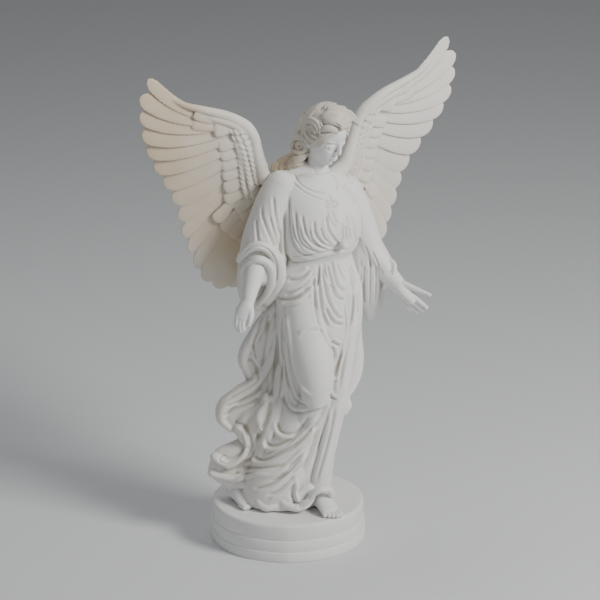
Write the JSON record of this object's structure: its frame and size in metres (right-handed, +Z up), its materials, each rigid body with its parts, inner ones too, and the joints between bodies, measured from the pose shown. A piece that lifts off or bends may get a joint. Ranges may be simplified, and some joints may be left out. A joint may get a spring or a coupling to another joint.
{
  "type": "angel statue",
  "caption": "Standing angel with raised wings and open hands in a windblown gown, cast in pale stone on a round stepped plinth.",
  "frame": {"origin": "centre of the plinth's flat underside", "axes": "+Z up through the figure, -Y the way the angel faces, +X to the angel's left"},
  "size_m": [0.6977, 0.316, 0.9959],
  "materials": {
    "figure_stone": "matte",
    "plinth_stone": "matte"
  },
  "bodies": {
    "root": {"angel": "figure_stone", "plinth": "plinth_stone"}
  },
  "joints": []
}
